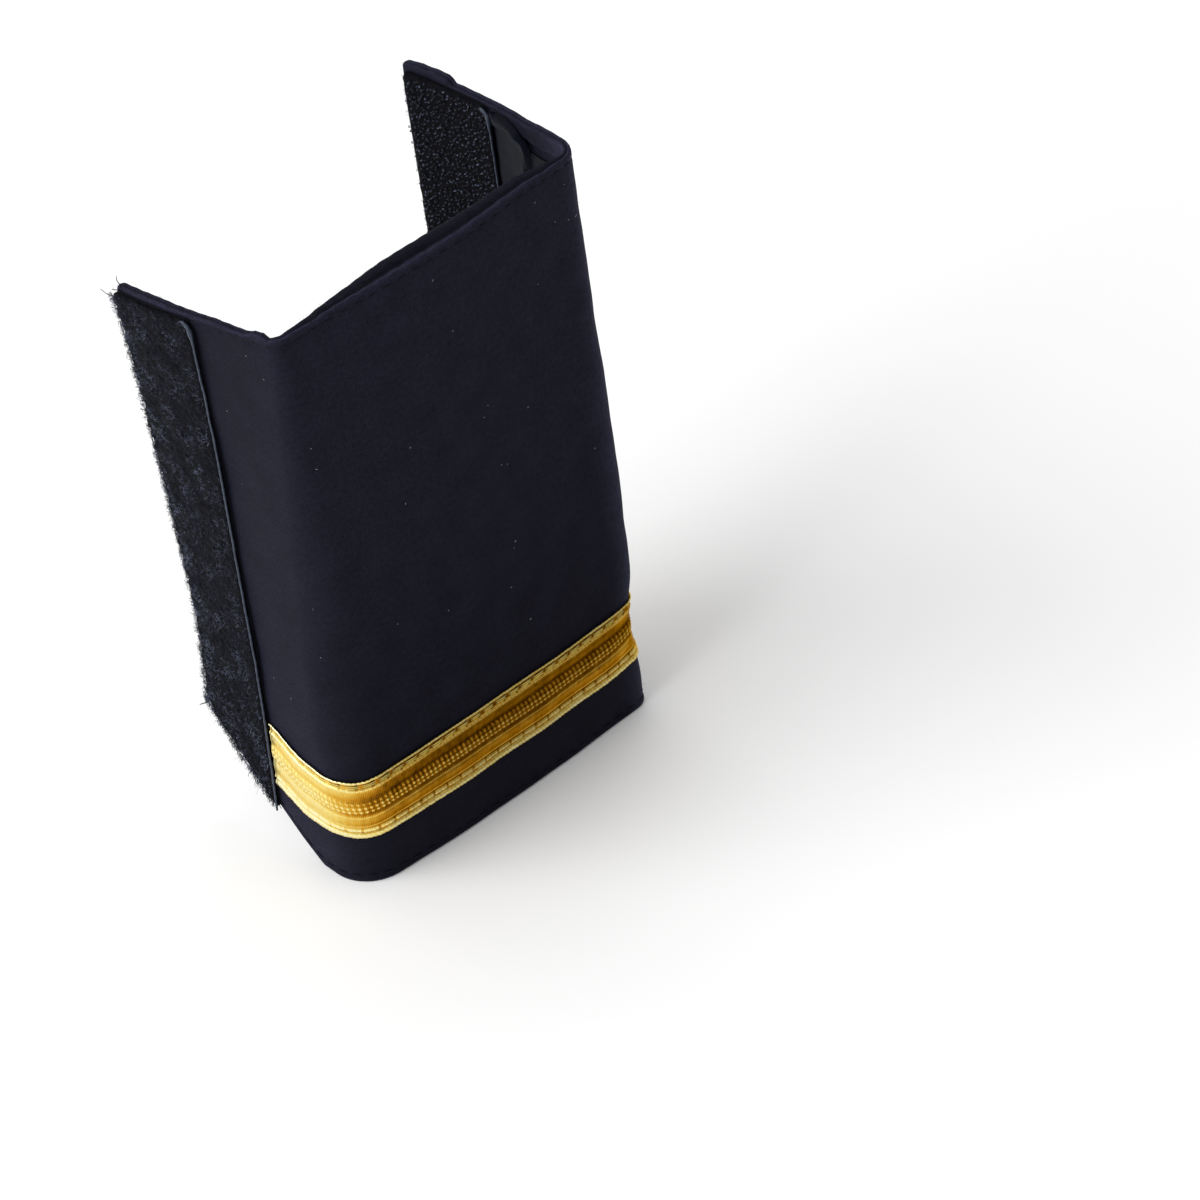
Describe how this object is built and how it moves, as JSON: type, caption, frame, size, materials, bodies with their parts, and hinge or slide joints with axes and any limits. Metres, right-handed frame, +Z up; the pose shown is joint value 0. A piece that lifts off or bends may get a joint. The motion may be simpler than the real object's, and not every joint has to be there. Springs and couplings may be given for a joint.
{
  "type": "shoulder board",
  "caption": "Slip-on cloth shoulder board, opened and standing: flat front, two folded flaps with fastener strips, and a band of gold lace round the lower end.",
  "frame": {"origin": "middle of the footprint on the surface that the board stands on", "axes": "+Z up the board towards its upper end, -Y out of the front, +X to the right of the front"},
  "size_m": [0.059, 0.039, 0.105],
  "materials": {
    "navy_twill": "fine woven twill, matt with a soft sheen at the folds",
    "dark_lining": "smooth plain weave, slightly lustrous",
    "loop_pile": "fuzzy looped pile, matt",
    "nylon_hooks": "woven nylon tape with a field of small glossy hooks",
    "gold_lace": "metallic thread braid, satin with bright edges"
  },
  "bodies": {
    "root": {"outer_cloth": "navy_twill", "lining": "dark_lining", "loop_strip": "loop_pile", "hook_strip": "nylon_hooks", "gold_lace": "gold_lace"}
  },
  "joints": []
}
